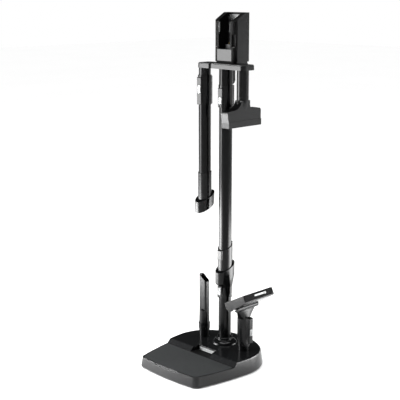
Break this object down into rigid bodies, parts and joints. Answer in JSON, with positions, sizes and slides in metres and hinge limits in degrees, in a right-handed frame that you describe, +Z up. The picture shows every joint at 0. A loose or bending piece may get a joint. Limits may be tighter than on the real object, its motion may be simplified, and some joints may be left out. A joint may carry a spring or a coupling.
{
  "type": "cordless vacuum accessory stand",
  "caption": "Free-standing floor dock for a stick vacuum: weighted base, round post, charging cradle on a crossbar, hanging dusting wand and nozzle, pegged crevice tool and mini brush.",
  "frame": {"origin": "on the floor, on the axis of the post, at the middle of the rubber foot under it", "axes": "+Z up, -Y to the front, where the floor head parks on the deck, +X to the side of the mini brush and the upholstery nozzle"},
  "size_m": [0.302, 0.3335, 1.026],
  "materials": {
    "gloss_black": "satin",
    "matte_black": "matte",
    "tube_black": "satin",
    "button_grey": "satin",
    "rubber_black": "matte",
    "steel": "brushed",
    "ballast_iron": "rough",
    "contact_brass": "polished",
    "bristle": "soft",
    "board_green": "satin",
    "lint_pile": "pile"
  },
  "bodies": {
    "stand": {"base_shell": "gloss_black", "deck_panel": "matte_black", "bottom_cover": "matte_black", "ballast_plate": "ballast_iron", "rubber_feet": "rubber_black", "base_screws": "steel", "ribbed_stop": "rubber_black", "post_flange": "gloss_black", "post_anchor": "matte_black", "anchor_bolt": "steel", "crevice_peg": "matte_black", "brush_peg": "matte_black", "peg_screws": "steel", "lower_tube": "tube_black", "lower_connector": "gloss_black", "elbow_bell": "gloss_black", "elbow_sleeve": "gloss_black", "upper_tube": "tube_black", "upper_connector": "gloss_black", "post_button_springs": "steel", "head_tube": "tube_black", "cable_conduit": "gloss_black", "crossbar": "gloss_black", "crossbar_cover": "matte_black", "head_screws": "steel", "wand_stub": "gloss_black", "nozzle_spigot": "gloss_black", "dock_shell": "gloss_black", "dock_back_cover": "matte_black", "charger_inlet": "matte_black", "charge_board": "board_green", "dock_front_panel": "gloss_black", "cradle_yoke": "matte_black", "guide_pads": "button_grey", "contact_block": "matte_black", "pin_springs": "steel", "dock_screws": "steel"},
    "lower_button": {"lower_button": "button_grey"},
    "upper_button": {"upper_button": "button_grey"},
    "contact_pins": {"contact_pins": "contact_brass"},
    "dusting_wand": {"wand_connector": "gloss_black", "wand_tube": "tube_black", "brush_bell": "gloss_black", "bell_bristles": "bristle", "wand_button_spring": "steel"},
    "wand_button": {"wand_button": "button_grey"},
    "upholstery_nozzle": {"nozzle_body": "gloss_black", "nozzle_lip": "gloss_black", "lint_strips": "lint_pile"},
    "crevice_tool": {"crevice_adapter": "gloss_black", "crevice_body": "gloss_black"},
    "mini_brush": {"mini_neck": "gloss_black", "mini_button_spring": "steel"},
    "mini_button": {"mini_button": "button_grey"},
    "mini_head": {"mini_head_shell": "gloss_black", "mini_end_caps": "gloss_black", "mini_pivot_pins": "steel"},
    "brush_roll": {"brush_roll": "matte_black", "roll_bristles": "bristle"}
  },
  "joints": [
    {"name": "wand_pull_down", "type": "slide", "parent": "stand", "child": "dusting_wand", "axis": [0, 0, -1], "range_m": [0, 0.05]},
    {"name": "wand_button_press", "type": "slide", "parent": "dusting_wand", "child": "wand_button", "axis": [0, 1, 0], "range_m": [0, 0.0025], "stiffness_N_per_m": 800, "springref_m": -0.001, "deforming": ["wand_button_spring"]},
    {"name": "nozzle_pull_down", "type": "slide", "parent": "stand", "child": "upholstery_nozzle", "axis": [0, 0, -1], "range_m": [0, 0.055]},
    {"name": "crevice_lift", "type": "slide", "parent": "stand", "child": "crevice_tool", "axis": [0, 0, 1], "range_m": [0, 0.05]},
    {"name": "mini_brush_lift", "type": "slide", "parent": "stand", "child": "mini_brush", "axis": [0, 0, 1], "range_m": [0, 0.06]},
    {"name": "mini_button_press", "type": "slide", "parent": "mini_brush", "child": "mini_button", "axis": [-1, 0, 0], "range_m": [0, 0.0025], "stiffness_N_per_m": 800, "springref_m": -0.001, "deforming": ["mini_button_spring"]},
    {"name": "mini_head_nod", "type": "hinge", "parent": "mini_brush", "child": "mini_head", "pos_m": [0.092, -0.005, 0.184], "axis": [0, 1, 0], "range_deg": [-20, 45]},
    {"name": "brush_roll_spin", "type": "hinge", "parent": "mini_head", "child": "brush_roll", "pos_m": [0.12593, -0.005, 0.22243], "axis": [0, 1, 0], "continuous": true},
    {"name": "upper_button_press", "type": "slide", "parent": "stand", "child": "upper_button", "axis": [0, 1, 0], "range_m": [0, 0.0025], "stiffness_N_per_m": 800, "springref_m": -0.001, "deforming": ["post_button_springs"]},
    {"name": "lower_button_press", "type": "slide", "parent": "stand", "child": "lower_button", "axis": [0, 1, 0], "range_m": [0, 0.0025], "stiffness_N_per_m": 800, "springref_m": -0.001, "deforming": ["post_button_springs"]},
    {"name": "contact_pins_press", "type": "slide", "parent": "stand", "child": "contact_pins", "axis": [0, 0, -1], "range_m": [0, 0.0025], "stiffness_N_per_m": 800, "springref_m": -0.001, "deforming": ["pin_springs"]}
  ]
}
